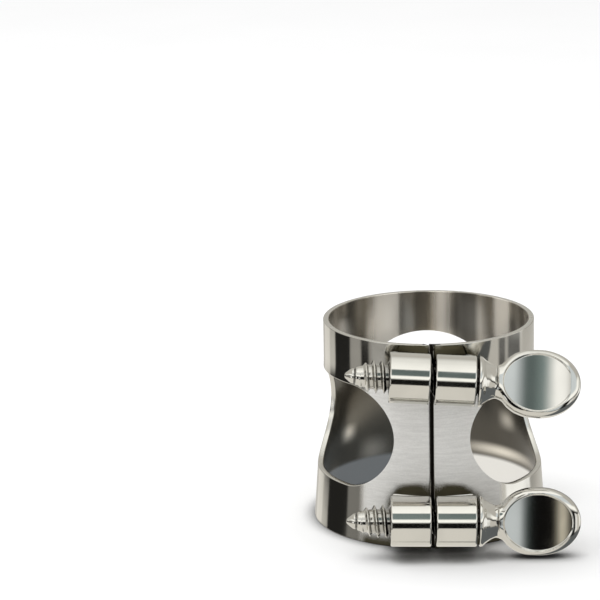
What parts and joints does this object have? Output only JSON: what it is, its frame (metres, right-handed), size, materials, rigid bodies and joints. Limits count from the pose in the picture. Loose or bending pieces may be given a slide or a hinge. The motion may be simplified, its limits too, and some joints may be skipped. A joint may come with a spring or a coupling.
{
  "type": "saxophone ligature",
  "caption": "Split metal band that clamps a reed to a saxophone mouthpiece with thumbscrews across its front.",
  "frame": {"origin": "centre of the straight collar, on the bore's axis", "axes": "+Z along the bore towards the mouthpiece's tip; -Y is the front, with the split and the screws; the thumb heads are on +X"},
  "size_m": [0.0325, 0.0351, 0.0256],
  "materials": {
    "band": "nickel plate on rolled brass sheet, polished, brushed flat on the front",
    "posts": "nickel plate on turned brass, polished",
    "screws": "nickel plate on cut thread, bright",
    "heads": "nickel plate on cast brass, mirror polished"
  },
  "bodies": {
    "left_half": {"band_left_half": "band", "upper_threaded_post": "posts", "lower_threaded_post": "posts"},
    "right_half": {"band_right_half": "band", "upper_plain_post": "posts", "lower_plain_post": "posts"},
    "upper_screw": {"upper_screw_stud": "screws", "upper_thumb_head": "heads"},
    "lower_screw": {"lower_screw_stud": "screws", "lower_thumb_head": "heads"}
  },
  "joints": [
    {"name": "band_squeeze", "type": "hinge", "parent": "left_half", "child": "right_half", "pos_m": [0, 0.0125, 0], "axis": [0, 0, -1], "range_deg": [0, 1]},
    {"name": "upper_screw_turn", "type": "hinge", "parent": "right_half", "child": "upper_screw", "pos_m": [0, -0.01633, -0.0006], "axis": [-0.9981, 0, 0.061], "range_deg": [0, 180]},
    {"name": "lower_screw_turn", "type": "hinge", "parent": "right_half", "child": "lower_screw", "pos_m": [0, -0.01742, -0.0183], "axis": [-0.9999, 0, 0.014], "range_deg": [0, 188]}
  ],
  "couplings": [
    {"joint": "band_squeeze", "follows": "upper_screw_turn", "ratio": 0.00552},
    {"joint": "lower_screw_turn", "follows": "upper_screw_turn", "ratio": 1.0378}
  ]
}
